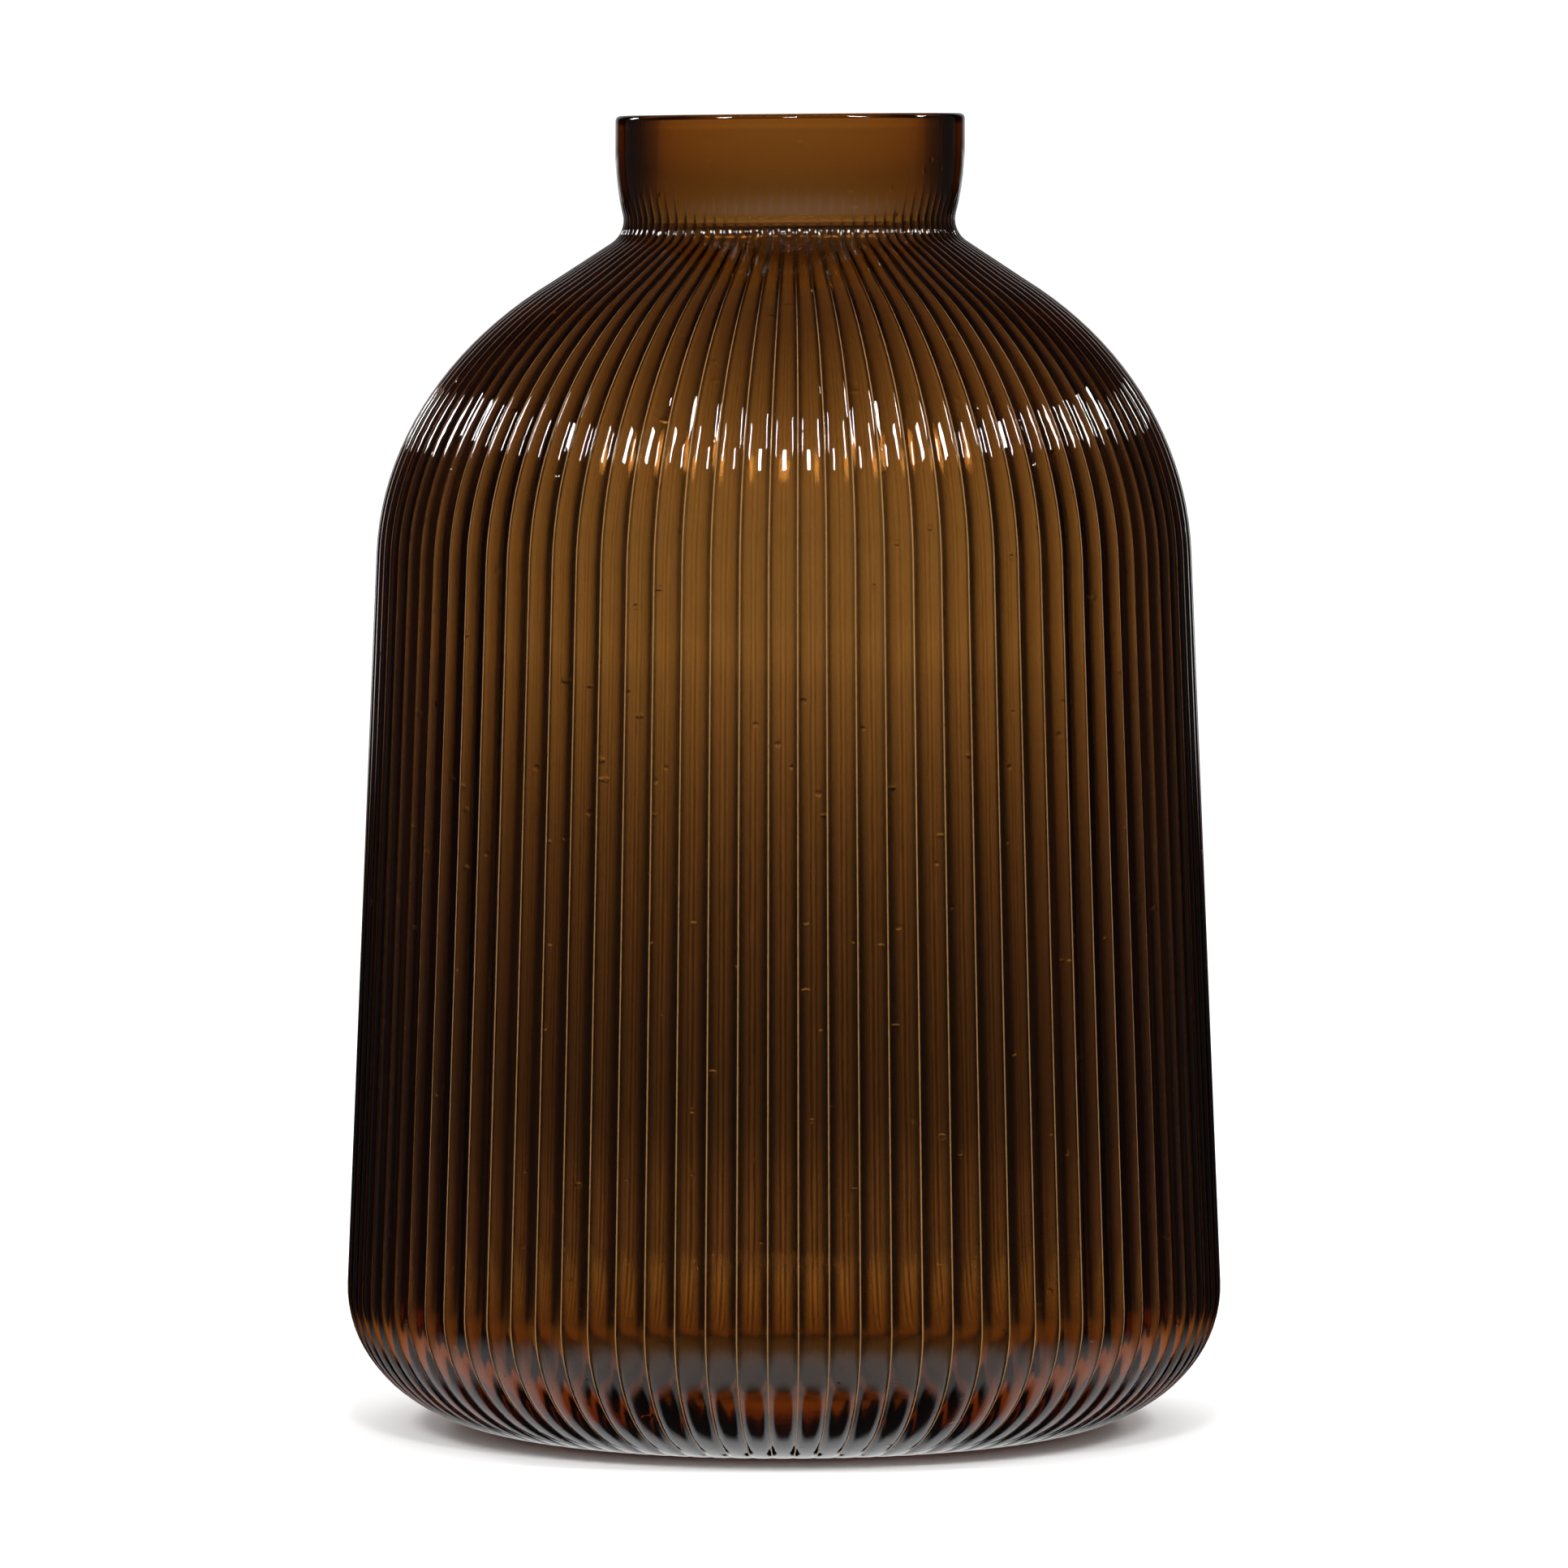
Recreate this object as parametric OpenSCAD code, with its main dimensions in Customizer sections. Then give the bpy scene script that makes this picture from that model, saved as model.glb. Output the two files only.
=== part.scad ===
// Ribbed amber glass vase, blown into a fluted mould: a domed, slightly tapered body on a
// rounded heel, with a plain flared collar and a ground lip.
// Millimetres, +Z up. The origin is the centre of the base, on the surface it stands on.
// The glass is one continuous wall in reality. Each module here is one zone of that wall, and
// neighbouring zones share the same ring of points, so they meet face to face.

/* [Body] */
// Height from the table to the top of the lip
vase_h = 300; // [294:1:306]
// Widest diameter, measured over the ribs just above the heel
vase_d = 200; // [196:1:206]
// Height of the widest ring above the table
heel_h = 32; // [28:1:38]
// Horizontal reach of the rounded heel, from the flat foot to the widest ring
heel_reach = 38.5; // [34:0.5:42]

/* [Dome] */
// Diameter where the tapered wall turns into the dome
dome_d = 186; // [184:0.5:190]
// Height of the dome's equator above the table
dome_z = 197; // [192:1:200]
// Rise of the dome's ellipse from its equator to its imaginary pole
dome_rise = 80; // [78:0.5:82]
// Angle on that ellipse where the dome hands over to the throat
dome_end = 54.5; // [52:0.5:57]

/* [Neck] */
// Diameter of the waist, the narrowest ring of the outside
waist_d = 75.6; // [75:0.2:78]
// Height of the waist above the table
waist_z = 276; // [275:0.5:277.5]
// Radius of the hollow curve between dome and waist
waist_fillet = 6; // [5:0.5:7]
// Outward lean of the glass just above the waist
flare_angle = 14; // [12:1:16]
// Outside diameter of the plain collar
collar_d = 79.6; // [79:0.2:80.6]
// Diameter of the mouth, a true cylinder inside collar and lip
mouth_d = 68; // [64:1:69]
// Height above the table where the last trace of the ribs ends
rib_end_z = 284; // [282:1:286]
// Share of the groove's depth that is left at the waist, where the ribs fade out
waist_fade = 0.4; // [0.2:0.1:0.8]
// Height of the ground lip
lip_h = 3; // [2:0.5:4]
// Radius of the lip's rounded outer edge
lip_round = 1.2; // [0.6:0.2:1.8]
// Bevel on the lip's inner edge
lip_bevel = 0.6; // [0.2:0.2:1]

/* [Ribs] */
// Number of ribs round the body
ribs = 90; // [72:2:96]
// Depth of the groove between two ribs at the widest ring
rib_depth = 1; // [0.6:0.1:1.4]

/* [Glass] */
// Thickness of the body wall, measured under a rib's crest
wall_t = 4.5; // [4:0.1:5]
// Thickness of the throat's wall
throat_t = 5; // [4.5:0.1:5.5]
// Thickness of the base, from the table to the floor inside
base_t = 9; // [8:0.5:11]
// Radius of the hollow pushed up under the base
punt_r = 52; // [40:1:54]
// Height of that hollow at its centre
punt_h = 4; // [2:0.5:5]

/* [Hidden] */

widest_r = vase_d / 2;
dome_r = dome_d / 2;
waist_r = waist_d / 2;
collar_r = collar_d / 2;
mouth_r = mouth_d / 2;
foot_r = widest_r - heel_reach;
lip_z = vase_h - lip_h;

// Slope of the straight wall: how much its radius shrinks for each millimetre of height.
taper = (widest_r - dome_r) / (dome_z - heel_h);

// Points on one ring: a groove, a flank, a crest and a flank for each rib on the outside.
per_rib = 4;
ring_n = ribs * per_rib;
// The smooth inside needs one point for every second rib.
inner_n = ribs / 2;
step = ring_n / inner_n;

// Spans along each curved zone.
heel_spans = 7;
dome_spans = 8;
fillet_spans = 3;
foot_spans = 3;
collar_spans = 6;

// How far a ring point lies below the rib's crest, as a share of the groove's depth. The rib's
// section is close to a round arc, so the share grows with the square of the distance.
function groove(j) = pow((j % per_rib) / (per_rib / 2) - 1, 2);

// Depth of the grooves where the crest has radius r. It shrinks with the pitch of the ribs.
function depth_at(r, fade = 1) = rib_depth * r / widest_r * fade;

// A station is [radius, height, normal's radial part, normal's vertical part, groove depth].
function unit(x, y) = [x, y] / norm([x, y]);
function station(r, z, normal, fade = 1) = [r, z, normal[0], normal[1], depth_at(r, fade)];

// The same station with its grooves cut level, so that its ring of points is flat.
function level(s) = [s[0], s[1], 1, 0, s[4] / s[2]];

// Angle on an ellipse of half axes a and b where it runs parallel to the tapered wall.
function taper_angle(a, b) = atan(taper * b / a);
heel_top = taper_angle(heel_reach, heel_h);
dome_start = taper_angle(dome_r, dome_rise);

// Heel: a quarter ellipse from the flat foot to the widest ring.
function heel_point(t, fade = 1) = station(
    foot_r + heel_reach * cos(t), heel_h + heel_h * sin(t),
    unit(cos(t) / heel_reach, sin(t) / heel_h), fade);
// Angle on the heel's ellipse at the height of the floor inside.
floor_angle = asin((base_t - heel_h) / heel_h);

// Dome: an ellipse centred on the vase's axis.
function dome_point(t) = station(
    dome_r * cos(t), dome_z + dome_rise * sin(t),
    unit(cos(t) / dome_r, sin(t) / dome_rise));
dome_last = dome_point(dome_end);
// Lean of the dome's surface from the vertical where it ends.
dome_lean = atan2(dome_last[3], dome_last[2]);

// Throat: a hollow arc round a centre outside the glass. Its lean a runs from the dome's lean,
// through 0 at the waist, to the flare above it.
function fillet_fade(a) = a > 0 ? 1 : waist_fade;
function fillet_point(a) = station(
    waist_r + waist_fillet * (1 - cos(a)), waist_z - waist_fillet * sin(a),
    [cos(a), sin(a)], fillet_fade(a));

// Collar: a slow round arc that brings the flare back to upright.
flare_rise = waist_fillet * sin(flare_angle);
collar_arc = (collar_r - waist_r) / (1 - cos(flare_angle)) - waist_fillet;
collar_arc_z = waist_z + flare_rise + collar_arc * sin(flare_angle);
function collar_lean(z) = asin(max(0, (collar_arc_z - z) / collar_arc));
function collar_radius(z) = collar_r - collar_arc * (1 - cos(collar_lean(z)));

// Rings of points.
function ring_angle(i, n) = 360 * i / n;
function outer_ring(s) = [for (j = [0:ring_n - 1])
    let (a = ring_angle(j, ring_n), cut = s[4] * groove(j), r = s[0] - cut * s[2])
    [r * cos(a), r * sin(a), s[1] - cut * s[3]]];
function inner_ring(p) = [for (k = [0:inner_n - 1])
    let (a = ring_angle(k, inner_n))
    [p[0] * cos(a), p[0] * sin(a), p[1]]];
function flatten(rings) = [for (ring = rings) each ring];

// Faces between ring i and ring i + 1 of n points each, seen from outside; flip for the inside.
function band(first, i, n, flip = false) = [for (j = [0:n - 1])
    let (a = first + i * n + j, b = first + i * n + (j + 1) % n, c = b + n, d = a + n)
    each flip ? [[a, c, d], [a, b, c]] : [[a, d, c], [a, c, b]]];

// Faces that close the gap between an outer ring and the coarser inner ring on the same level.
function rim_faces(outer, inner, up) = [for (k = [0:inner_n - 1])
    let (i0 = inner + k, i1 = inner + (k + 1) % inner_n, middle = outer + k * step + step / 2)
    each concat(
        [for (j = [0:step - 1])
            let (a = outer + k * step + j, b = outer + (k * step + j + 1) % ring_n,
                 i = j < step / 2 ? i0 : i1)
            up ? [i, b, a] : [i, a, b]],
        [up ? [i0, i1, middle] : [i0, middle, i1]])];

// A ring of glass: stations up the ribbed outside, plain [radius, height] points up the inside.
module ribbed_shell(outer, inner) {
    first_inner = len(outer) * ring_n;
    last_outer = (len(outer) - 1) * ring_n;
    last_inner = first_inner + (len(inner) - 1) * inner_n;
    polyhedron(
        points = concat(
            flatten([for (s = outer) outer_ring(s)]),
            flatten([for (p = inner) inner_ring(p)])),
        faces = concat(
            flatten([for (i = [0:len(outer) - 2]) band(0, i, ring_n)]),
            flatten([for (i = [0:len(inner) - 2]) band(first_inner, i, inner_n, true)]),
            rim_faces(0, first_inner, false),
            rim_faces(last_outer, last_inner, true)),
        convexity = 6);
}

// A solid plate of glass with a ribbed edge.
module ribbed_plate(outer) {
    top = (len(outer) - 1) * ring_n;
    low_centre = len(outer) * ring_n;
    high_centre = low_centre + 1;
    polyhedron(
        points = concat(
            flatten([for (s = outer) outer_ring(s)]),
            [[0, 0, outer[0][1]], [0, 0, outer[len(outer) - 1][1]]]),
        faces = concat(
            flatten([for (i = [0:len(outer) - 2]) band(0, i, ring_n)]),
            [for (j = [0:ring_n - 1]) [low_centre, j, (j + 1) % ring_n]],
            [for (j = [0:ring_n - 1]) [high_centre, top + (j + 1) % ring_n, top + j]]),
        convexity = 4);
}

// Points shared by neighbouring zones, on the outside and on the inside.
floor_seam = level(heel_point(floor_angle));
heel_seam = heel_point(heel_top);
dome_seam = dome_point(dome_start);
collar_seam = [collar_radius(rib_end_z), rib_end_z, 1, 0, 0];
function inside(s, t) = [s[0] - t * s[2], s[1] - t * s[3]];
heel_seam_in = inside(heel_seam, wall_t);
dome_seam_in = inside(dome_seam, wall_t);
throat_seam_in = inside(dome_last, throat_t);

// Station up the foot's edge, with grooves that deepen from nothing at the flat foot.
function foot_point(share) = share == 0
    ? [foot_r, 0, 1, 0, 0]
    : heel_point(-90 + (floor_angle + 90) * share, share);

// Thick bottom: the flat foot, the hollow pushed up under it and the floor inside.
module base() {
    punt_ball = (punt_r * punt_r + punt_h * punt_h) / (2 * punt_h);
    color([0.30, 0.17, 0.06, 0.9])
    difference() {
        ribbed_plate(concat(
            [for (i = [0:foot_spans - 1]) foot_point(i / foot_spans)],
            [floor_seam]));
        translate([0, 0, punt_h - punt_ball]) sphere(r = punt_ball, $fn = 200);
    }
}
// Rounded heel between the base and the widest ring. Its inside sweeps up from the floor.
module heel() {
    reach_in = heel_seam_in[0] - foot_r;
    rise_in = heel_seam_in[1] - base_t;
    color([0.33, 0.19, 0.07, 0.85])
    ribbed_shell(
        concat([floor_seam], [for (i = [1:heel_spans])
            heel_point(floor_angle + (heel_top - floor_angle) * i / heel_spans)]),
        [for (i = [0:heel_spans]) let (t = 90 * i / heel_spans)
            [foot_r + reach_in * sin(t), base_t + rise_in * (1 - cos(t))]]);
}

// Straight tapered wall, the tallest zone.
module body_wall() {
    color([0.42, 0.26, 0.11, 0.75])
    ribbed_shell([heel_seam, dome_seam], [heel_seam_in, dome_seam_in]);
}

// Dome that closes the body towards the neck. Its wall thickens a little on the way up.
module shoulder() {
    color([0.42, 0.26, 0.11, 0.75])
    ribbed_shell(
        [for (i = [0:dome_spans]) dome_point(dome_start + (dome_end - dome_start) * i / dome_spans)],
        [for (i = [0:dome_spans]) inside(
            dome_point(dome_start + (dome_end - dome_start) * i / dome_spans),
            wall_t + (throat_t - wall_t) * i / dome_spans)]);
}

// Waist below the collar, where the ribs run out.
module throat() {
    leans = [for (i = [0:fillet_spans]) dome_lean * (1 - i / fillet_spans)];
    color([0.38, 0.23, 0.10, 0.8])
    ribbed_shell(
        concat([dome_last], [for (a = leans) fillet_point(a)], [fillet_point(-flare_angle)],
            [collar_seam]),
        concat([throat_seam_in], [for (a = leans) if (a > 0) inside(fillet_point(a), throat_t)],
            [[mouth_r - 0.6, waist_z + 1], [mouth_r, rib_end_z]]));
}

// Plain collar with a true cylindrical mouth.
module collar() {
    color([0.40, 0.25, 0.10, 0.8])
    rotate_extrude($fn = 180)
    polygon(concat(
        [[mouth_r, lip_z], [mouth_r, rib_end_z]],
        [for (i = [0:collar_spans]) let (z = rib_end_z + (lip_z - rib_end_z) * i / collar_spans)
            [collar_radius(z), z]]));
}

// Lip, cut off flat, ground and lightly rounded.
module lip() {
    color([0.36, 0.22, 0.09, 0.85])
    rotate_extrude($fn = 180)
    polygon(concat(
        [[mouth_r, lip_z], [collar_r, lip_z]],
        [for (a = [0:15:90])
            [collar_r - lip_round * (1 - cos(a)), vase_h - lip_round * (1 - sin(a))]],
        [[mouth_r + lip_bevel, vase_h], [mouth_r, vase_h - lip_bevel]]));
}

base();
heel();
body_wall();
shoulder();
throat();
collar();
lip();
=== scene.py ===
# %% [markdown]
# A tall vase of amber glass, blown into a fluted mould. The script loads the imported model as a
# fixed frame, draws one seamless glass vessel over its zones, gives it real glass and sets up
# a small studio. Everything is in metres, and +Z points up along the vase's axis.

# %% Load the frame
import math

import bmesh
import bpy
import numpy as np
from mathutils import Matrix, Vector


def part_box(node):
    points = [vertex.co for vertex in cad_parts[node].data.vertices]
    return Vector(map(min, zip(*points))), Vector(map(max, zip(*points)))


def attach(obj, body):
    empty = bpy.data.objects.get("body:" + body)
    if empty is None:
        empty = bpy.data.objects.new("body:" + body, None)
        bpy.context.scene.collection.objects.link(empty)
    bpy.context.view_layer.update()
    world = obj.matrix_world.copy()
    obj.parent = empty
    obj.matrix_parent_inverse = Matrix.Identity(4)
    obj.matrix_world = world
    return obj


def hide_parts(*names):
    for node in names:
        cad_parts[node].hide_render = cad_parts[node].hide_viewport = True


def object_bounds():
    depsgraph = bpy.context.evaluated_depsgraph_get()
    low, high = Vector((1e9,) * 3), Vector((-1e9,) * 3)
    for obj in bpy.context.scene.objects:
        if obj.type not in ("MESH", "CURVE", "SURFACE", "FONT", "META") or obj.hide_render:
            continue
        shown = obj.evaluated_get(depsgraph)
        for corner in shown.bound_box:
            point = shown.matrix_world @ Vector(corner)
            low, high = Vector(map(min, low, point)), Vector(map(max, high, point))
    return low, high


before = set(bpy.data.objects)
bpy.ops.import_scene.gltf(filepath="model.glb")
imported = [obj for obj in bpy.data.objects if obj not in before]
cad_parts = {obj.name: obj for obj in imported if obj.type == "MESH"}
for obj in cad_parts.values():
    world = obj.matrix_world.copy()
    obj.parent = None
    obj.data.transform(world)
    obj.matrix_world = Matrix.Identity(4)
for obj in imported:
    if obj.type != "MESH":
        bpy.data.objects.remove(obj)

cad_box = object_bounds()
print("nodes:", sorted(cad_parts))
print("box:", [tuple(round(v, 4) for v in corner) for corner in cad_box])

# %% [markdown]
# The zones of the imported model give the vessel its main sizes: how tall and wide it is and
# where the collar starts. Only what the zones can't tell is typed here, such as the radii of
# the curves and the thickness of the glass.

# %% Sizes
mm = 0.001
height = cad_box[1].z
widest_r = cad_box[1].y
floor_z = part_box("base")[1].z
collar_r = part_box("lip")[1].y
rib_end_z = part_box("collar")[0].z

heel_reach = 38.5 * mm
heel_rise = 32 * mm
dome_r = 93 * mm
dome_z = 197 * mm
dome_rise = 80 * mm
dome_end = math.radians(54.5)
waist_r = 37.8 * mm
waist_z = 276 * mm
waist_round = 6 * mm
flare = math.radians(14)
mouth_r = 34 * mm
lip_round = 1.2 * mm
lip_bevel = 0.6 * mm
wall_t = 4.5 * mm
throat_t = 5 * mm
punt_r = 52 * mm
punt_rise = 4 * mm
foot_r = widest_r - heel_reach

rib_count = 90
rib_depth = 1.0 * mm
print(f"height {height:.3f} m, widest radius {widest_r:.3f} m, foot radius {foot_r:.3f} m")

# %% [markdown]
# The outline of the outside is a chain of simple curves, as a mould maker would draw it: an
# ellipse for the heel, a straight tapered wall, an ellipse for the dome, a hollow round at the
# waist and one slow arc up the collar.

# %% Outline of the outside
taper = (widest_r - dome_r) / (dome_z - heel_rise)


def spaced(start, end, count):
    """Evenly spaced values from start to end, both included."""
    return [start + (end - start) * i / (count - 1) for i in range(count)]


def between(a, b, count):
    """Points on the straight line from a to b, without its two ends."""
    return list(zip(spaced(a[0], b[0], count + 2), spaced(a[1], b[1], count + 2)))[1:-1]


def heel_curve(count):
    top = math.atan(taper * heel_rise / heel_reach)
    return [
        (foot_r + heel_reach * math.cos(t), heel_rise + heel_rise * math.sin(t))
        for t in spaced(-math.pi / 2, top, count)
    ]


def dome_curve(count):
    low = math.atan(taper * dome_rise / dome_r)
    return [
        (dome_r * math.cos(t), dome_z + dome_rise * math.sin(t))
        for t in spaced(low, dome_end, count)
    ]


def waist_curve(count):
    lean = math.atan2(math.sin(dome_end) / dome_rise, math.cos(dome_end) / dome_r)
    return [
        (waist_r + waist_round * (1 - math.cos(a)), waist_z - waist_round * math.sin(a))
        for a in spaced(lean, -flare, count)
    ]


collar_arc = (collar_r - waist_r) / (1 - math.cos(flare)) - waist_round
collar_arc_z = waist_z + (waist_round + collar_arc) * math.sin(flare)


def collar_radius(z):
    lean = math.asin(min(max(0, (collar_arc_z - z) / collar_arc), 1))
    return collar_r - collar_arc * (1 - math.cos(lean))


def collar_curve(low, high, count):
    return [(collar_radius(z), z) for z in spaced(low, high, count)]


heel = heel_curve(22)
dome = dome_curve(22)
waist = waist_curve(11)
ribbed = (
    heel
    + between(heel[-1], dome[0], 14)
    + dome
    + between(dome[-1], waist[0], 3)
    + waist
    + collar_curve(waist[-1][1], rib_end_z, 5)[1:]
)
print(f"{len(ribbed)} rings carry the ribs")

# %% [markdown]
# The inside was shaped by air, so it is smooth: it follows the outside at the thickness of the
# glass, and the glass is thickest at the bottom. The collar's mouth is a true cylinder. The
# smooth glass is drawn as two outlines: the underside, and one long line from the collar over
# the lip and down the inside to the middle of the floor.

# %% Outlines of the smooth glass
def inside(outline, thickness):
    """The outline moved inwards, square to itself, by a thickness for each point."""
    path = np.array(outline)
    along = np.gradient(path, axis=0)
    along /= np.linalg.norm(along, axis=1)[:, None]
    inward = np.stack([-along[:, 1], along[:, 0]], axis=1)
    return [tuple(p) for p in path + inward * np.array(thickness)[:, None]]


heel_top_in = inside(heel[-2:] + dome[:1], [wall_t] * 3)[1]
dome_in = inside(dome, spaced(wall_t, throat_t, len(dome)))[1::2]
waist_in = inside(waist, [throat_t] * len(waist))
waist_in = [p for p in waist_in if p[1] < waist_z - 1 * mm][::2]
heel_in = [
    (
        foot_r + (heel_top_in[0] - foot_r) * math.sin(t),
        floor_z + (heel_top_in[1] - floor_z) * (1 - math.cos(t)),
    )
    for t in spaced(0, math.pi / 2, 13)
]
inner_side = [(r, floor_z) for r in spaced(0, foot_r, 7)[:-1]]
inner_side += heel_in + between(heel_top_in, dome_in[0], 5) + dome_in + waist_in
inner_side += [(mouth_r - 0.4 * mm, waist_z + 2 * mm)]
inner_side += [(mouth_r, z) for z in spaced(rib_end_z - 2 * mm, height - lip_bevel, 4)]
lip = [
    (
        collar_r - lip_round * (1 - math.cos(a)),
        height - lip_round * (1 - math.sin(a)),
    )
    for a in spaced(0, math.pi / 2, 5)
]
lip += [(mouth_r + lip_bevel, height)]
upper_glass = collar_curve(rib_end_z, height - lip_round, 8)[:-1] + lip + inner_side[::-1]

punt_ball = (punt_r**2 + punt_rise**2) / (2 * punt_rise)
underside = [
    (r, math.sqrt(punt_ball**2 - r**2) - punt_ball + punt_rise)
    for r in spaced(0, punt_r, 7)
]
underside += [(foot_r, 0)]
print(f"{len(upper_glass)} rings over the lip to the floor, {len(underside)} underneath")

# %% [markdown]
# A lathe makes all of this. One vertex is extruded from point to point until it has drawn an
# outline, and the outline is spun round the Z axis. A full turn isn't needed: every rib is like
# the next, so only the slice of one rib is spun. The ribbed slice needs ten columns to look
# round, and the smooth glass needs three.

# %% Draw an outline and spin one slice of it
slice_angle = 2 * math.pi / rib_count


def draw_outline(name, points):
    """A chain of edges through [radius, height] points, drawn by extruding one vertex."""
    bpy.ops.object.select_all(action="DESELECT")
    bpy.ops.mesh.primitive_plane_add(size=1 * mm, location=(points[0][0], 0, points[0][1]))
    piece = bpy.context.object
    piece.name = piece.data.name = name
    bpy.ops.object.transform_apply(location=True, rotation=True, scale=True)
    bpy.ops.object.mode_set(mode="EDIT")
    bpy.ops.mesh.select_all(action="SELECT")
    bpy.ops.mesh.merge(type="CENTER")
    for (r0, z0), (r1, z1) in zip(points, points[1:]):
        bpy.ops.mesh.extrude_region_move(
            TRANSFORM_OT_translate={"value": (r1 - r0, 0, z1 - z0)}
        )
    bpy.ops.object.mode_set(mode="OBJECT")
    return piece


def spin_slice(name, points, columns):
    """The slice of a vessel that belongs to one rib, swept by an outline round the Z axis."""
    piece = draw_outline(name, points)
    bpy.ops.object.mode_set(mode="EDIT")
    bpy.ops.mesh.select_all(action="SELECT")
    # With the axis pointing down, the sweep goes anticlockwise as seen from above.
    bpy.ops.mesh.spin(steps=columns, angle=slice_angle, center=(0, 0, 0), axis=(0, 0, -1))
    bpy.ops.mesh.select_all(action="SELECT")
    bpy.ops.mesh.remove_doubles(threshold=0.002 * mm)
    bpy.ops.object.mode_set(mode="OBJECT")
    print(f"{name}: {len(piece.data.vertices)} vertices, {len(piece.data.polygons)} faces")
    return piece


columns_per_rib = 10
smooth_columns = 3
vessel = spin_slice("glass_vessel", ribbed, columns_per_rib)
upper = spin_slice("upper_glass", upper_glass, smooth_columns)
under = spin_slice("underside", underside, smooth_columns)

# %% [markdown]
# The slice of the ribbed band is still smooth. Its columns are first crowded towards the
# groove, where the glass turns most, and then each vertex sinks into the glass by the depth
# of the groove there. A blown rib is broad and almost flat, and falls steeply into a narrow
# groove with a round bottom, so the depth grows with the fourth power of the distance from
# the crest. The flat crests let light straight through and the steep flanks bend it away,
# which is what draws the bright and dark stripes on the real vase.

# %% Shape one rib
column_places = [0, 0.08, 0.2, 0.42, 0.7, 1, 1.3, 1.58, 1.8, 1.92, 2]
flank_power = 4
groove_floor = 0.8
foot_flat = 0.2 * mm
foot_fade = 2.5 * mm
neck_fade_z = waist_z - 7 * mm
ring = np.array(ribbed)
ring_along = np.gradient(ring, axis=0)
ring_along /= np.linalg.norm(ring_along, axis=1)[:, None]


def fade(z):
    """Share of the ribs' depth at a height: none at the flat foot, none above the waist."""
    foot = np.clip((z - foot_flat) / foot_fade, 0, 1)
    neck = np.clip((rib_end_z - z) / (rib_end_z - neck_fade_z), 0, 1)
    return foot**0.5 * neck**2 * (3 - 2 * neck)


def read_points(piece):
    co = np.empty(len(piece.data.vertices) * 3, np.float32)
    piece.data.vertices.foreach_get("co", co)
    return co.reshape(-1, 3).astype(float)


def write_points(piece, co):
    piece.data.vertices.foreach_set("co", co.astype(np.float32).ravel())
    piece.data.update()


co = read_points(vessel)
r = np.hypot(co[:, 0], co[:, 1])
column = np.arctan2(co[:, 1], co[:, 0]) / slice_angle * columns_per_rib
place = np.interp(column, range(columns_per_rib + 1), column_places)
share = np.minimum((place - 1) ** flank_power, groove_floor) / groove_floor
depth = rib_depth * share * fade(co[:, 2]) * r / widest_r
out_r = np.interp(co[:, 2], ring[:, 1], ring_along[:, 1])
out_z = -np.interp(co[:, 2], ring[:, 1], ring_along[:, 0])
angle = place / 2 * slice_angle
r -= depth * out_r
co = np.stack([r * np.cos(angle), r * np.sin(angle), co[:, 2] - depth * out_z], axis=1)
write_points(vessel, co)
print(f"deepest groove {depth.max() / mm:.2f} mm")

# %% [markdown]
# An Array modifier repeats the slice round the axis. It copies the step from the slice to an
# empty that is turned by one rib, and merges the columns where two slices meet.

# %% Repeat the slice round the axis
bpy.ops.object.empty_add(location=(0, 0, 0), rotation=(0, 0, slice_angle))
turn = bpy.context.object
bpy.context.view_layer.update()


def repeat_round(piece):
    bpy.ops.object.select_all(action="DESELECT")
    piece.select_set(True)
    bpy.context.view_layer.objects.active = piece
    array = piece.modifiers.new("ribs", "ARRAY")
    array.count = rib_count
    array.use_relative_offset = False
    array.use_object_offset = True
    array.offset_object = turn
    array.use_merge_vertices = True
    array.use_merge_vertices_cap = True
    array.merge_threshold = 0.01 * mm
    bpy.ops.object.modifier_apply(modifier=array.name)
    bpy.ops.object.mode_set(mode="EDIT")
    bpy.ops.mesh.select_all(action="SELECT")
    bpy.ops.mesh.remove_doubles(threshold=0.01 * mm)
    bpy.ops.object.mode_set(mode="OBJECT")
    print(f"{piece.name}: {len(piece.data.polygons)} faces all round")


for piece in (vessel, upper, under):
    repeat_round(piece)
bpy.data.objects.remove(turn)

# %% [markdown]
# Each of the three shells is open where it meets the next. They are joined, their open edges
# are selected and bridged, and the result is one closed skin of glass. It has to be one: an
# inner wall at each zone's edge would show as a bright line, because glass bends light at
# every surface.

# %% Close the vessel
bpy.ops.object.select_all(action="DESELECT")
for piece in (vessel, upper, under):
    piece.select_set(True)
bpy.context.view_layer.objects.active = vessel
bpy.ops.object.join()


def bridge_open_edges(piece, low, high):
    """Bridges the two open loops whose edges lie between two heights."""
    bpy.ops.object.mode_set(mode="EDIT")
    bpy.ops.mesh.select_mode(type="EDGE")
    mesh = bmesh.from_edit_mesh(piece.data)
    for edge in mesh.edges:
        middle = (edge.verts[0].co.z + edge.verts[1].co.z) / 2
        edge.select_set(edge.is_boundary and low < middle < high)
    bmesh.update_edit_mesh(piece.data)
    bpy.ops.mesh.bridge_edge_loops()
    bpy.ops.mesh.select_mode(type="VERT")
    bpy.ops.object.mode_set(mode="OBJECT")


def open_edges(piece):
    mesh = bmesh.new()
    mesh.from_mesh(piece.data)
    count = sum(1 for edge in mesh.edges if not edge.is_manifold)
    mesh.free()
    return count


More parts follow.
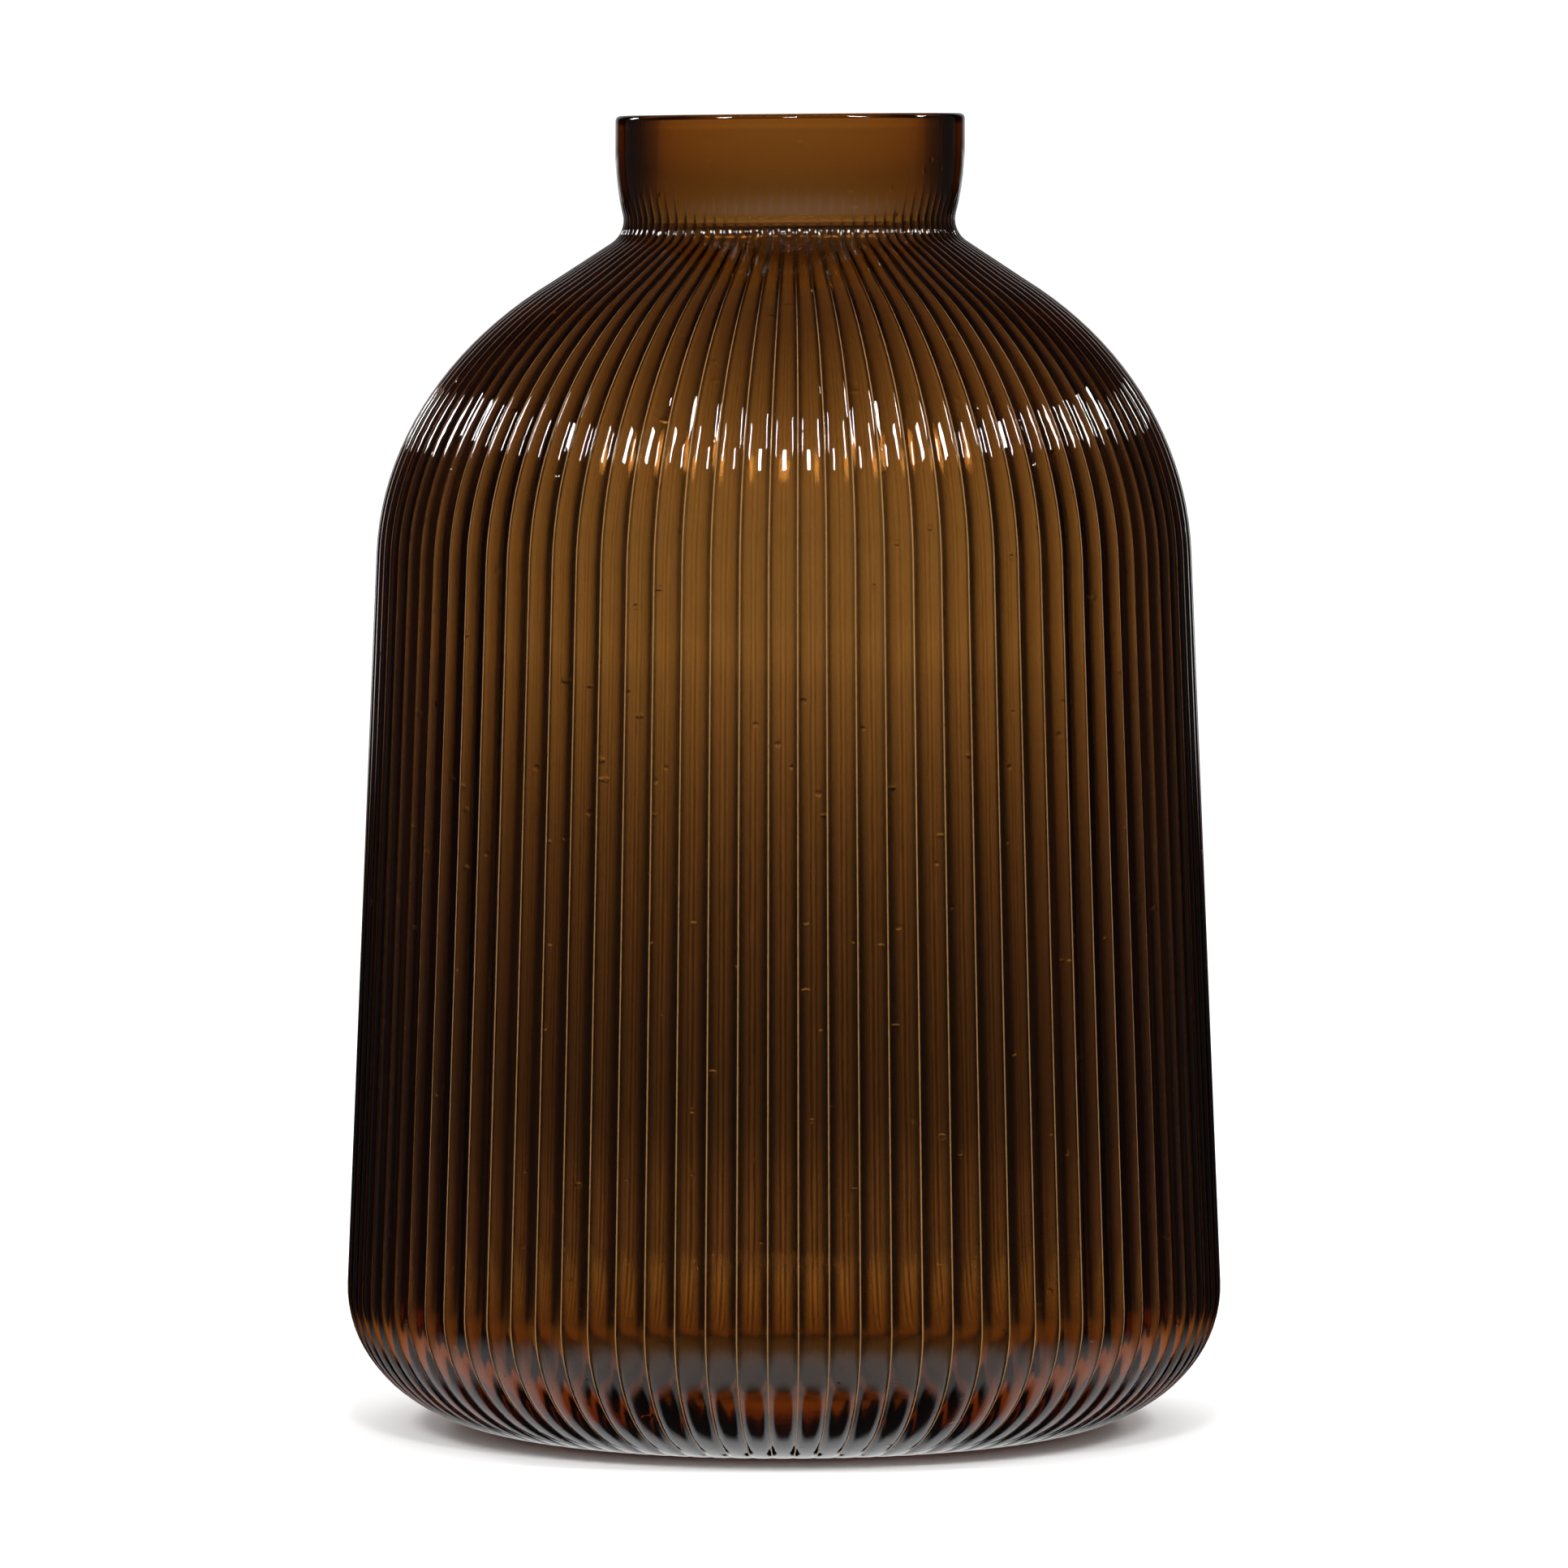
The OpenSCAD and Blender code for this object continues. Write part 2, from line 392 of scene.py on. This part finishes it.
print("open edges before:", open_edges(vessel))
bridge_open_edges(vessel, rib_end_z - 0.1 * mm, rib_end_z + 0.1 * mm)
bridge_open_edges(vessel, -0.1 * mm, 0.1 * mm)
bpy.ops.object.mode_set(mode="EDIT")
bpy.ops.mesh.select_all(action="SELECT")
bpy.ops.mesh.remove_doubles(threshold=0.002 * mm)
bpy.ops.mesh.normals_make_consistent(inside=False)
bpy.ops.object.mode_set(mode="OBJECT")
print("open edges after:", open_edges(vessel))

# %% [markdown]
# Two marks on the mesh tell the glass where it is. "inside" is 1 on the inner skin, which
# never touched the mould. "groove" is 1 along the bottom of each groove, where the mould
# chilled the hot glass and left a fine frosted line, which fades out below the neck. A
# material can read such marks, and they stay on the mesh however it is turned.

# %% Mark the inner skin and the grooves
whole_line = np.array(ribbed + collar_curve(rib_end_z, height, 8)[1:])
co = read_points(vessel)
r = np.hypot(co[:, 0], co[:, 1])
angle = np.arctan2(co[:, 1], co[:, 0])
outer_r = np.interp(co[:, 2], whole_line[:, 1], whole_line[:, 0])
is_inside = (r < outer_r - wall_t / 2) & (co[:, 2] > punt_rise + 1 * mm)
rib_turns = angle / slice_angle
on_groove = np.abs(rib_turns - np.round(rib_turns)) < column_places[1] / 4
on_groove &= ~is_inside & (co[:, 2] > 1 * mm)
frost_end_z = waist_z - 5 * mm
frost_fade_length = 25 * mm
frost_fade = np.clip((frost_end_z - co[:, 2]) / frost_fade_length, 0, 1)


def mark(name, values):
    layer = vessel.data.attributes.new(name, "FLOAT", "POINT")
    layer.data.foreach_set("value", np.asarray(values, np.float32))
    print(f"{name}: {np.mean(values):.3f} of the vertices")


mark("inside", is_inside)
mark("groove", on_groove * frost_fade)

# %% [markdown]
# A vase that was blown by hand is never quite true. Here the neck leans a little to one side,
# the rim is a touch lower on the other, and the ribs drift slowly closer together and apart.
# Each is about a millimetre, so one vertex move for all three is enough, and the vase keeps
# its size.

# %% Let the glass be a little untrue
neck_lean = 1.4 * mm
rim_drop = 0.7 * mm
rib_drift = 0.003

straight = co.copy()
angle += rib_drift * (np.sin(5 * angle) + 0.6 * np.sin(11 * angle + 1))
co[:, 0] = r * np.cos(angle)
co[:, 1] = r * np.sin(angle)
up = np.clip((co[:, 2] - dome_z) / (height - dome_z), 0, 1)
up = up**2 * (3 - 2 * up)
co[:, 2] -= rim_drop * up * (1 - co[:, 0] / collar_r) / 2
co[:, 0] += neck_lean * up
write_points(vessel, co)
print(f"largest move {np.abs(co - straight).max() / mm:.2f} mm")

# %% [markdown]
# The shaders below need some sums. A small class wraps a socket and lets Python's own
# operators add the Math nodes, so that a formula reads like a formula.

# %% Sums for shaders
class Sum:
    """A number that a shader works out, for use in Python expressions."""

    def __init__(self, board, socket):
        self.board = board
        self.socket = socket

    def __add__(self, other):
        return self.board.math("ADD", self, other)

    def __sub__(self, other):
        return self.board.math("SUBTRACT", self, other)

    def __rsub__(self, other):
        return self.board.math("SUBTRACT", other, self)

    def __mul__(self, other):
        return self.board.math("MULTIPLY", self, other)

    def __truediv__(self, other):
        return self.board.math("DIVIDE", self, other)

    def __rtruediv__(self, other):
        return self.board.math("DIVIDE", other, self)

    __radd__ = __add__
    __rmul__ = __mul__


print("sums overload + - * /")

# %% [markdown]
# A board holds the nodes of one material. Its one method for nodes takes a type, then the
# settings, then the inputs, because some settings change which inputs a node has.

# %% A board of nodes
class Board:
    """The nodes of one material or world."""

    def __init__(self, tree):
        self.tree = tree

    def node(self, kind, settings=None, inputs=None):
        """Adds a node: its settings first, then the values or links of its sockets."""
        node = self.tree.nodes.new(kind)
        for name, value in (settings or {}).items():
            if name == "stops":
                self.set_stops(node.color_ramp, value)
            else:
                setattr(node, name, value)
        for name, value in (inputs or {}).items():
            self.feed(node.inputs[name], value)
        return node

    def feed(self, socket, value):
        if isinstance(value, Sum):
            value = value.socket
        if isinstance(value, bpy.types.NodeSocket):
            self.tree.links.new(value, socket)
        else:
            socket.default_value = value

    def number(self, kind, settings=None, inputs=None, output=0):
        return Sum(self, self.node(kind, settings, inputs).outputs[output])

    def math(self, operation, *values):
        inputs = dict(enumerate(values))
        return self.number("ShaderNodeMath", {"operation": operation}, inputs)

    def set_stops(self, ramp, stops):
        ramp.interpolation = "EASE"
        for place, colour in stops[1:-1]:
            ramp.elements.new(place).color = (*colour, 1)
        for element, (place, colour) in ((0, stops[0]), (-1, stops[-1])):
            ramp.elements[element].position = place
            ramp.elements[element].color = (*colour, 1)

    def step(self, value, low, high):
        """0 below low, 1 above high, and a smooth rise between."""
        return self.number(
            "ShaderNodeMapRange",
            {"interpolation_type": "SMOOTHSTEP"},
            {"Value": value, "From Min": low, "From Max": high},
        )


print("a board adds", bpy.types.ShaderNodeMath.bl_rna.name, "and other nodes")

# %% [markdown]
# Real glass takes its colour from its depth, so the colour sits in the volume and the surface
# is clear: thin walls stay golden, and the long way through the collar's edge goes nearly
# black. Absorption is given per metre for red, green and blue, and turned into the colour and
# density of a Volume Absorption shader. The outer skin is fire-bright. The inner skin is a
# little duller, so the far wall's ribs blur softly, and a faint bump, drawn out along the
# axis as blown glass is, makes the lines of light a little uneven, as do small bubbles, which
# glassmakers call seeds. Along the grooves a thin amber frost catches the light.

# %% Amber glass
absorbed_per_m = (104, 202, 390)
density = 420
inside_roughness = 0.13
frost_share = 0.6
frost_colour = (0.42, 0.22, 0.085, 1)
streaks_per_m = (420, 420, 45)
streak_height = 0.02 * mm
streak_detail = 2.0
seeds_per_m = 130.0
seed_height = 0.05 * mm
seed_edge = (0.05, 0.11)
beads_per_m = 900.0
frost_least, frost_swing = 0.6, 0.7
frost_edge = (0.1, 0.7)
frost_roughness = 0.6
frost_shine = 0.15
glass_ior = 1.5


def amber_glass():
    material = bpy.data.materials.new("amber_glass")
    material.use_nodes = True
    board = Board(material.node_tree)
    glass = material.node_tree.nodes["Principled BSDF"]
    output = material.node_tree.nodes["Material Output"]
    place = board.node("ShaderNodeTexCoord").outputs["Object"]
    inside_mark = board.number("ShaderNodeAttribute", {"attribute_name": "inside"}, output="Fac")
    groove_line = board.number("ShaderNodeAttribute", {"attribute_name": "groove"}, output="Fac")

    drawn_out = board.node(
        "ShaderNodeVectorMath", {"operation": "MULTIPLY"}, {0: place, 1: streaks_per_m}
    )
    streaks = board.number(
        "ShaderNodeTexNoise",
        None,
        {"Vector": drawn_out.outputs[0], "Scale": 1.0, "Detail": streak_detail},
    )
    beads = board.number(
        "ShaderNodeTexNoise", None, {"Vector": place, "Scale": beads_per_m, "Detail": 1.0}
    )
    seeds = board.number("ShaderNodeTexVoronoi", None, {"Vector": place, "Scale": seeds_per_m})
    seed_dots = 1 - board.step(seeds, *seed_edge)
    streak_bump = board.node(
        "ShaderNodeBump", None, {"Height": streaks, "Distance": streak_height, "Strength": 1.0}
    )
    seed_bump = board.node(
        "ShaderNodeBump",
        None,
        {"Height": seed_dots, "Distance": seed_height, "Normal": streak_bump.outputs[0]},
    )
    board.feed(glass.inputs["Normal"], seed_bump.outputs[0])
    board.feed(glass.inputs["Base Color"], (1, 1, 1, 1))
    board.feed(glass.inputs["Roughness"], inside_mark * inside_roughness)
    board.feed(glass.inputs["IOR"], glass_ior)
    board.feed(glass.inputs["Transmission Weight"], 1.0)

    frost = board.node(
        "ShaderNodeBsdfPrincipled",
        None,
        {
            "Base Color": frost_colour,
            "Roughness": frost_roughness,
            "Specular IOR Level": frost_shine,
        },
    )
    frost_line = groove_line * (frost_least + beads * frost_swing)
    frost_mask = board.step(frost_line, *frost_edge) * frost_share
    skin = board.node(
        "ShaderNodeMixShader", None, {0: frost_mask, 1: glass.outputs[0], 2: frost.outputs[0]}
    )
    board.feed(output.inputs["Surface"], skin.outputs[0])

    colour = [1 - a / density for a in absorbed_per_m]
    depth_colour = board.node(
        "ShaderNodeVolumeAbsorption", None, {"Color": (*colour, 1), "Density": density}
    )
    board.feed(output.inputs["Volume"], depth_colour.outputs[0])
    return material


vessel.data.materials.append(amber_glass())
bpy.ops.object.select_all(action="DESELECT")
vessel.select_set(True)
bpy.context.view_layer.objects.active = vessel
bpy.ops.object.shade_smooth_by_angle(angle=math.radians(40))
two_walls = 2 * wall_t
print("colour through both walls:", [round(math.exp(-two_walls * a), 3) for a in absorbed_per_m])

# %% [markdown]
# The vessel rides on the model's only body and stands for all of its zones.

# %% Put the vessel in the frame
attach(vessel, "root")
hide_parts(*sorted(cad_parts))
print(vessel.name, "stands for", len(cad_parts), "zones")

# %% [markdown]
# The vase stands on a plain pale table. Only the camera sees it, because a bright table would
# light the glass from below and hide its colour. What the glass sees under its own foot is
# a painted shadow: a small dark grey disc that stands for the table in the vase's shade.

# %% The table
table_size = 90
table_white = 0.96
painted_shadow_grey = 0.05


def plain_material(name, level):
    material = bpy.data.materials.new(name)
    material.use_nodes = True
    shader = material.node_tree.nodes["Principled BSDF"]
    shader.inputs["Base Color"].default_value = (level, level, level, 1)
    shader.inputs["Roughness"].default_value = 1.0
    shader.inputs["Specular IOR Level"].default_value = 0.0
    return material


def only_seen_by(piece, *rays):
    """Hides a stage piece from all rays but the ones named."""
    for ray in ("camera", "diffuse", "glossy", "transmission", "shadow"):
        setattr(piece, "visible_" + ray, ray in rays)


bpy.ops.mesh.primitive_plane_add(size=table_size, location=(0, 0, 0))
table = bpy.context.object
table.name = "table"
table.data.materials.append(plain_material("pale_table", table_white))
only_seen_by(table, "camera")

# Painted shadow: a dark grey disc under the foot, seen only through the glass, stands for the
# table in the vase's shade.
bpy.ops.mesh.primitive_circle_add(
    vertices=64, radius=foot_r, fill_type="NGON", location=(0, 0, -0.5 * mm)
)
painted_foot_shade = bpy.context.object
painted_foot_shade.name = "painted_foot_shade"
painted_foot_shade.data.materials.append(plain_material("painted_foot_shadow", painted_shadow_grey))
only_seen_by(painted_foot_shade, "transmission")
print("table", table_size, "m, shade", round(2 * foot_r, 3), "m across")

# %% [markdown]
# Glass shows its surroundings, so the studio is built for it, the way bottles are lit: white
# paper all round for the eye, but a dark room for the glass, with one lit backdrop behind
# it. Light that comes straight through a rib is bright, and light that a flank bends aside
# meets the dark room. The world makes both: rays from the camera and from the white table
# find paper, and rays that have met the glass find the room. A mirrored ray that points well
# down, but not straight down, finds the lit table in front of the vase, and so the heel has
# its pale band.

# %% The room
paper_white = 1.12
room_light = 0.035
dark_light = 0.004
table_near = (-66, -52)
table_end = (-36, -16)

world = bpy.data.worlds.new("studio")
bpy.context.scene.world = world
world.use_nodes = True
board = Board(world.node_tree)
direction = board.node("ShaderNodeTexCoord").outputs["Generated"]
heights = board.node("ShaderNodeSeparateXYZ", None, {0: direction})
elevation = board.math("ARCSINE", Sum(board, heights.outputs["Z"])) * math.degrees(1)
path = board.node("ShaderNodeLightPath")
is_mirror = Sum(board, path.outputs["Is Glossy Ray"])
from_camera = Sum(board, path.outputs["Is Camera Ray"])
from_table = Sum(board, path.outputs["Is Diffuse Ray"])
is_open = board.math("MAXIMUM", from_camera, from_table)
lit_table = board.step(elevation, *table_near) * (1 - board.step(elevation, *table_end))
mirrored = room_light + lit_table
level = is_open * paper_white + (1 - is_open) * (dark_light + is_mirror * mirrored)
board.feed(world.node_tree.nodes["Background"].inputs["Color"], (1, 1, 1, 1))
board.feed(world.node_tree.nodes["Background"].inputs["Strength"], level)
print("paper", paper_white, "room", room_light)

# %% [markdown]
# The camera stands 2.3 m away, a little below the lip, and looks slightly down.

# %% Camera
camera_far = 2.336
camera_height = 0.2882
camera_pitch = 3.46
bpy.ops.object.camera_add(location=(0, -camera_far, camera_height))
camera = bpy.context.object
camera.data.sensor_width = 36
camera.data.lens = 235.1
camera.rotation_euler = (math.radians(90 - camera_pitch), 0, 0)
bpy.context.scene.camera = camera
bpy.context.view_layer.update()
print("camera at", [round(v, 3) for v in camera.location])

# %% [markdown]
# The backdrop is one large glowing sheet, 8 m behind the vase. Its glow changes with height,
# given here as degrees above the horizon: bright just below eye level, where the light for
# the middle of the wall comes from, dim and warm under that for the lower wall, and bright
# again near the floor for the heel. It fades into the dark at both sides, and the lit part is
# wider at the top than at the bottom. The sheet hangs from the camera, and so do the lamps: a
# vase is shown on a turntable, where the backdrop is always opposite the camera, and this
# makes it so from every side.

# %% How the backdrop glows
backdrop_far = 8.0
top_angle = 50
bottom_angle = 30
side_angle = 40
knee = -3.0
knee_reach = 48.0
cool = (1.0, 1.0, 1.0)
warm = (1.0, 0.8, 0.75)
high_half, high_soft = 18.0, 8.0
low_half, low_soft = 7.0, 2.5
widens = (-4.4, -2.2)
# Each row holds the degrees above the horizon, the light and its tint.
glow = [
    (-33, 1.0, cool),
    (-20, 1.0, cool),
    (-15, 0.9, cool),
    (-12, 0.4, warm),
    (-8.5, 0.45, warm),
    (-7.1, 0.4, warm),
    (-6.85, 0.3, warm),
    (-6.4, 0.18, warm),
    (-5.9, 0.16, warm),
    (-5.2, 0.18, warm),
    (-4.7, 0.27, warm),
    (-4.2, 0.35, warm),
    (-3.6, 0.36, warm),
    (-3.2, 0.46, warm),
    (-2.7, 0.7, cool),
    (-2.2, 0.9, cool),
    (-1.7, 0.86, cool),
    (-1.2, 0.68, cool),
    (-0.6, 0.57, cool),
    (0.1, 0.82, cool),
    (0.5, 1.0, cool),
    (0.85, 0.5, cool),
    (1.05, 0.42, cool),
    (1.35, 0.55, cool),
    (3, 0.5, cool),
    (6, 0.36, cool),
    (30, 0.36, cool),
    (45, 0, cool),
]
print(f"{len(glow)} steps of light from {glow[0][0]} to {glow[-1][0]} degrees")

# %% [markdown]
# A Color Ramp holds the glow. Its steps have to be finest about 3 degrees below the horizon,
# where most of the light in the wall comes from, so the ramp is stretched there: a place on it
# grows with the square root of the distance from that knee. The sheet's own Object coordinates
# give the height and the distance from the middle.

# %% The backdrop's light
def ramp_place(angle):
    """Where an elevation goes on the ramp, which is stretched near the knee."""
    away = angle - knee
    return 0.5 + math.copysign(math.sqrt(abs(away) / knee_reach), away) / 2


def backdrop_glow():
    material = bpy.data.materials.new("backdrop_glow")
    material.use_nodes = True
    material.node_tree.nodes.clear()
    board = Board(material.node_tree)
    place = board.node("ShaderNodeTexCoord").outputs["Object"]
    parts = board.node("ShaderNodeSeparateXYZ", None, {0: place})
    across = Sum(board, parts.outputs["X"]) / backdrop_far
    upwards = Sum(board, parts.outputs["Y"]) / backdrop_far
    across = board.math("ABSOLUTE", board.math("ARCTANGENT", across)) * math.degrees(1)
    upwards = board.math("ARCTANGENT", upwards) * math.degrees(1) - camera_pitch
    away = upwards - knee
    root = board.math("POWER", board.math("ABSOLUTE", away) / knee_reach, 0.5)
    on_ramp = 0.5 + board.math("SIGN", away) * root / 2
    stops = [(ramp_place(a), [light * c for c in tint]) for a, light, tint in glow]
    ramp = board.node("ShaderNodeValToRGB", {"stops": stops}, {0: on_ramp})
    rise = board.step(upwards, *widens)
    half = low_half + rise * (high_half - low_half)
    soft = low_soft + rise * (high_soft - low_soft)
    strength = 1 - board.step(across, half - soft, half + soft)
    lit = board.node(
        "ShaderNodeEmission", None, {"Color": ramp.outputs[0], "Strength": strength + dark_light}
    )
    output = board.node("ShaderNodeOutputMaterial")
    board.feed(output.inputs["Surface"], lit.outputs[0])
    return material


print("knee at stop", ramp_place(knee))

# %% [markdown]
# The sheet itself is a plane, stretched to the angles that the camera sees it under. It is
# seen only by rays that have met the glass, in reflection or through it.

# %% Hang the backdrop
bpy.ops.mesh.primitive_plane_add(size=2, location=(0, 0, 0))
backdrop = bpy.context.object
backdrop.name = "backdrop"
for corner in backdrop.data.vertices:
    corner.co.x *= backdrop_far * math.tan(math.radians(side_angle))
    tilt = top_angle if corner.co.y > 0 else bottom_angle
    corner.co.y *= backdrop_far * math.tan(math.radians(tilt))
backdrop.data.materials.append(backdrop_glow())
backdrop.location = (0, 0, -camera_far - backdrop_far)
backdrop.parent = camera
only_seen_by(backdrop, "glossy", "transmission")
bpy.context.view_layer.update()
print("backdrop", [round(v, 2) for v in backdrop.dimensions])

# %% [markdown]
# Five small softboxes put a row of glints on the shoulder. The two furthest round are hidden
# from rays that pass through the glass, so that only their reflections show.

# %% Softboxes
def softbox(name, place, size, power, through):
    """A rectangular area light that faces the shoulder and hangs from the camera."""
    bpy.ops.object.light_add(type="AREA", location=place)
    lamp = bpy.context.object
    lamp.name = name
    lamp.data.shape = "RECTANGLE"
    lamp.data.size, lamp.data.size_y = size
    lamp.data.energy = power
    lamp.visible_transmission = through
    aim = Vector((0, 0, dome_z)) - lamp.location
    lamp.rotation_euler = aim.to_track_quat("-Z", "Y").to_euler()
    lamp.parent = camera
    lamp.matrix_parent_inverse = camera.matrix_world.inverted()


softbox("softbox_back_left", (-1.33, 1.24, 0.92), (0.2, 0.3), 6, False)
softbox("softbox_left", (-1.08, -0.86, 1.5), (0.22, 0.4), 12, True)
softbox("softbox_front", (0, -1.4, 1.45), (0.25, 0.25), 9, True)
softbox("softbox_right", (1.08, -0.86, 1.5), (0.22, 0.4), 12, True)
softbox("softbox_far_right", (1.5, 0.4, 1.17), (0.2, 0.3), 6, False)

# %% [markdown]
# Light that enters glass has to leave it again, so it is allowed many bounces.

# %% Picture
scene = bpy.context.scene
scene.view_settings.view_transform = "Standard"
scene.cycles.max_bounces = 32
scene.cycles.transmission_bounces = 32
scene.cycles.glossy_bounces = 12
scene.cycles.diffuse_bounces = 3
print("view transform:", scene.view_settings.view_transform)
